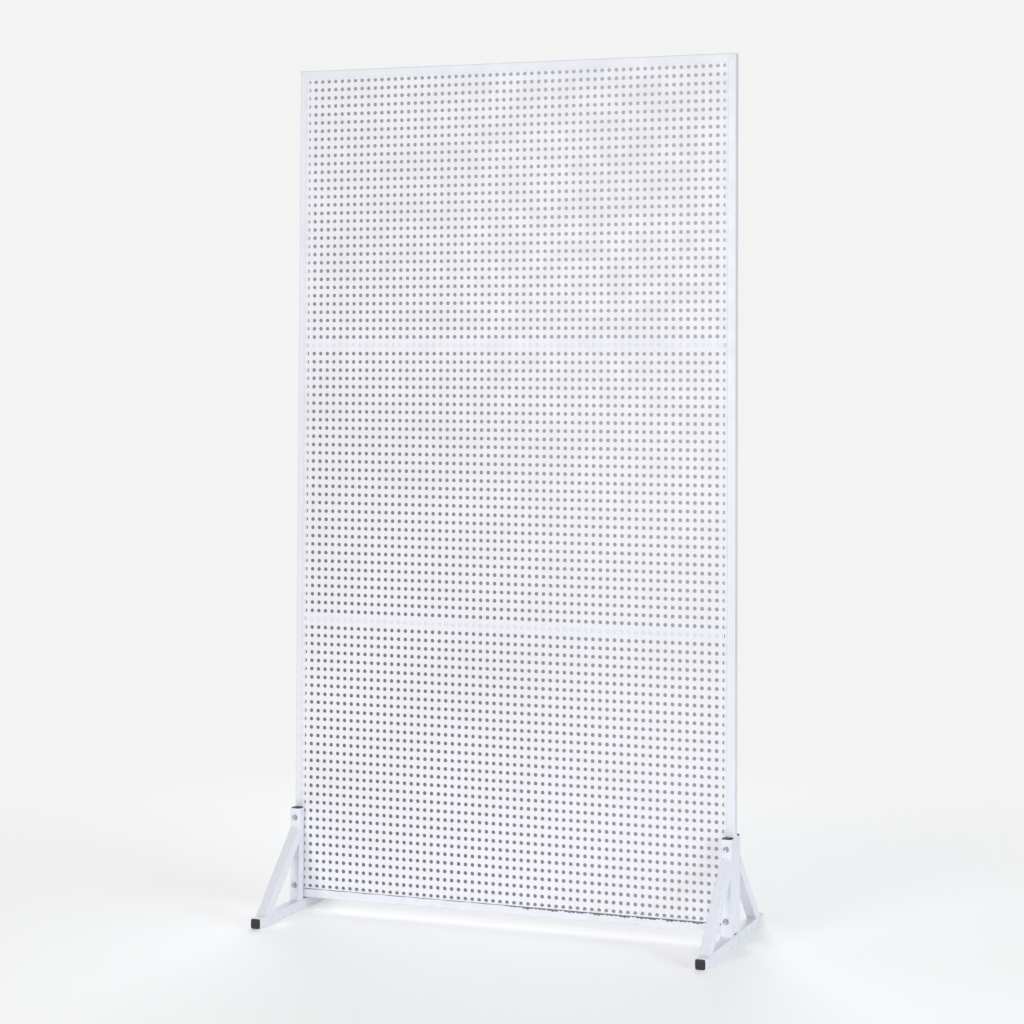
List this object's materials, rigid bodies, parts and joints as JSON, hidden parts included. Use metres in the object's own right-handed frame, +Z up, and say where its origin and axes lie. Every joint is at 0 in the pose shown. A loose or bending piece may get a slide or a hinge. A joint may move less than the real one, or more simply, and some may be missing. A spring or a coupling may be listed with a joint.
{
  "type": "partition wall",
  "caption": "Free-standing partition wall: white perforated steel sheet on a square-tube frame with crossbars, bolted between the posts of braced square-tube feet.",
  "frame": {"origin": "on the floor, midway between the outer edges and midway through the frame", "axes": "+Z up, +X to the right seen from the front; the perforated sheet's front faces -Y"},
  "size_m": [1.095, 0.5, 2.026],
  "materials": {
    "white_powder_coat": "white powder coat with a faint blue cast, satin, fine orange peel",
    "white_sheet_coat": "white powder coat on perforated steel sheet, satin",
    "black_plastic": "black moulded polyethylene, satin",
    "zinc": "bright zinc plate"
  },
  "bodies": {
    "root": {"crossbar_lower": "white_powder_coat", "crossbar_upper": "white_powder_coat", "foot_left_base_plug_front": "black_plastic", "foot_left_base_plug_rear": "black_plastic", "foot_left_base_tube": "white_powder_coat", "foot_left_front_brace": "white_powder_coat", "foot_left_front_post": "white_powder_coat", "foot_left_lower_bolt": "zinc", "foot_left_lower_nut": "zinc", "foot_left_lower_washer_front": "zinc", "foot_left_lower_washer_rear": "zinc", "foot_left_post_plug_front": "black_plastic", "foot_left_post_plug_rear": "black_plastic", "foot_left_rear_brace": "white_powder_coat", "foot_left_rear_post": "white_powder_coat", "foot_left_upper_bolt": "zinc", "foot_left_upper_nut": "zinc", "foot_left_upper_washer_front": "zinc", "foot_left_upper_washer_rear": "zinc", "foot_right_base_plug_front": "black_plastic", "foot_right_base_plug_rear": "black_plastic", "foot_right_base_tube": "white_powder_coat", "foot_right_front_brace": "white_powder_coat", "foot_right_front_post": "white_powder_coat", "foot_right_lower_bolt": "zinc", "foot_right_lower_nut": "zinc", "foot_right_lower_washer_front": "zinc", "foot_right_lower_washer_rear": "zinc", "foot_right_post_plug_front": "black_plastic", "foot_right_post_plug_rear": "black_plastic", "foot_right_rear_brace": "white_powder_coat", "foot_right_rear_post": "white_powder_coat", "foot_right_upper_bolt": "zinc", "foot_right_upper_nut": "zinc", "foot_right_upper_washer_front": "zinc", "foot_right_upper_washer_rear": "zinc", "frame_rail_bottom": "white_powder_coat", "frame_rail_top": "white_powder_coat", "frame_upright_left": "white_powder_coat", "frame_upright_right": "white_powder_coat", "perforated_sheet": "white_sheet_coat"}
  },
  "joints": []
}
